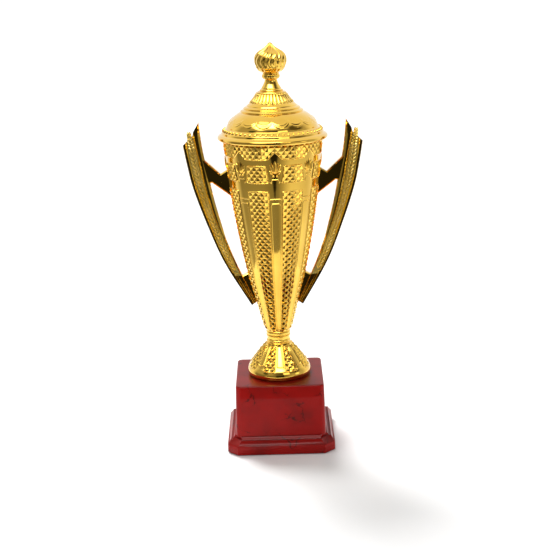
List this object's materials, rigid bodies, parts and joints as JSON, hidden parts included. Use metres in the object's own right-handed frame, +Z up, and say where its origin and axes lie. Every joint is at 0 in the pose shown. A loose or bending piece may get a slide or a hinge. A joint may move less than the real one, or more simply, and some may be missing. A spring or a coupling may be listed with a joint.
{
  "type": "cup trophy",
  "caption": "Tall lidded trophy cup in gold finish with lyre handles, studded panels and bud finial, on a stepped square plinth.",
  "frame": {"origin": "middle of the plane the trophy stands on", "axes": "+Z up, the handles along X, +Y towards the back"},
  "size_m": [0.175, 0.1074, 0.4],
  "materials": {
    "gold": "ABS plastic, vacuum-metallised in mirror gold",
    "plinth": "moulded plastic, cherry red with dark veins, glossy",
    "bottom_board": "matt black sheet",
    "ring_plastic": "uncoated natural plastic",
    "foot_pad": "closed-cell foam",
    "ballast": "rough casting",
    "fastener": "zinc plated"
  },
  "bodies": {
    "root": {"plinth_foot_tier": "plinth", "plinth_block": "plinth", "bottom_plate": "bottom_board", "bottom_screw_1": "fastener", "bottom_screw_2": "fastener", "bottom_screw_3": "fastener", "bottom_screw_4": "fastener", "foot_pad_1": "foot_pad", "foot_pad_2": "foot_pad", "foot_pad_3": "foot_pad", "foot_pad_4": "foot_pad", "ballast_plate": "ballast", "tie_rod": "fastener", "rod_washer_bottom": "fastener", "rod_washer_top": "fastener", "rod_nut_bottom": "fastener", "rod_nut_top": "fastener", "pedestal_foot": "gold", "stem_collar": "gold", "cup_shell": "gold", "right_handle": "gold", "left_handle": "gold", "handle_stud_left_upper": "fastener", "handle_stud_left_lower": "fastener", "handle_stud_right_upper": "fastener", "handle_stud_right_lower": "fastener", "handle_nut_left_upper": "fastener", "handle_nut_left_lower": "fastener", "handle_nut_right_upper": "fastener", "handle_nut_right_lower": "fastener"},
    "lid_ring": {"lid_locating_ring": "ring_plastic"},
    "lid": {"lid_shell": "gold", "finial_stem": "gold", "finial_bud": "gold", "finial_washer": "fastener", "finial_screw": "fastener"}
  },
  "joints": [
    {"name": "lid_lift", "type": "slide", "parent": "root", "child": "lid_ring", "axis": [0, 0, 1], "range_m": [0, 0.12]},
    {"name": "lid_turn", "type": "hinge", "parent": "lid_ring", "child": "lid", "pos_m": [0, 0, 0.309], "axis": [0, 0, 1], "continuous": true}
  ]
}
